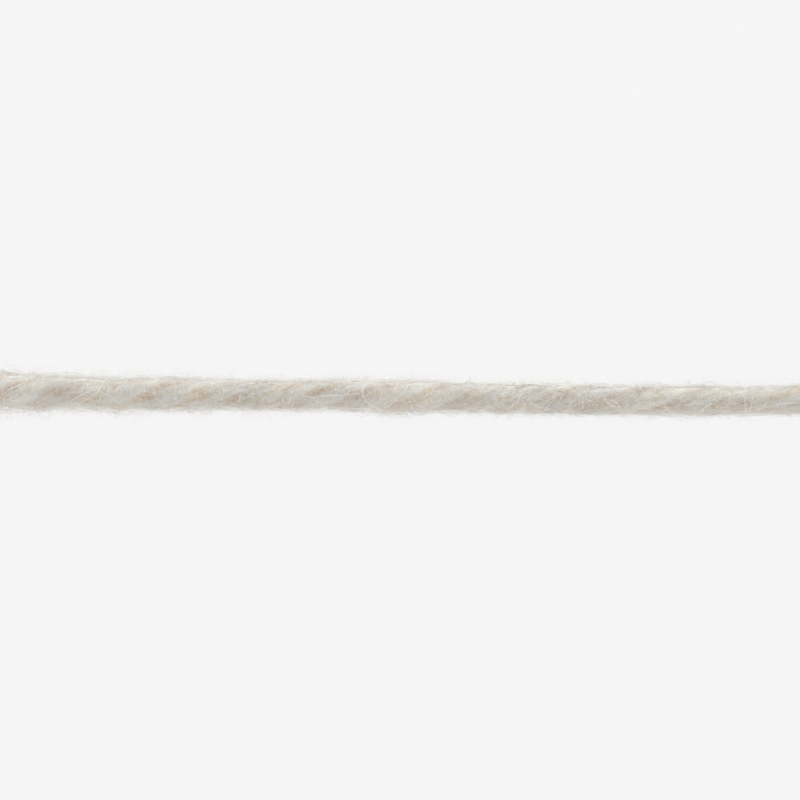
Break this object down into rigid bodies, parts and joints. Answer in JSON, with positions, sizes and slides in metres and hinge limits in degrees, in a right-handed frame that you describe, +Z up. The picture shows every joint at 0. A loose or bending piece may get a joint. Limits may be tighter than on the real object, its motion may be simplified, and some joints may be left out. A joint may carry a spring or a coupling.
{
  "type": "knitting yarn",
  "caption": "Short cut length of soft plied wool knitting yarn, lying straight on a table, its plies twisted together.",
  "frame": {"origin": "on the surface that the strand lies on, under the middle of its length and width", "axes": "+X along the strand, +Y across it, +Z up from the surface"},
  "size_m": [0.08, 0.0036, 0.0035],
  "materials": {
    "wool": "matte, fuzzy spun wool"
  },
  "bodies": {
    "root": {"yarn_strand": "wool"}
  },
  "joints": []
}
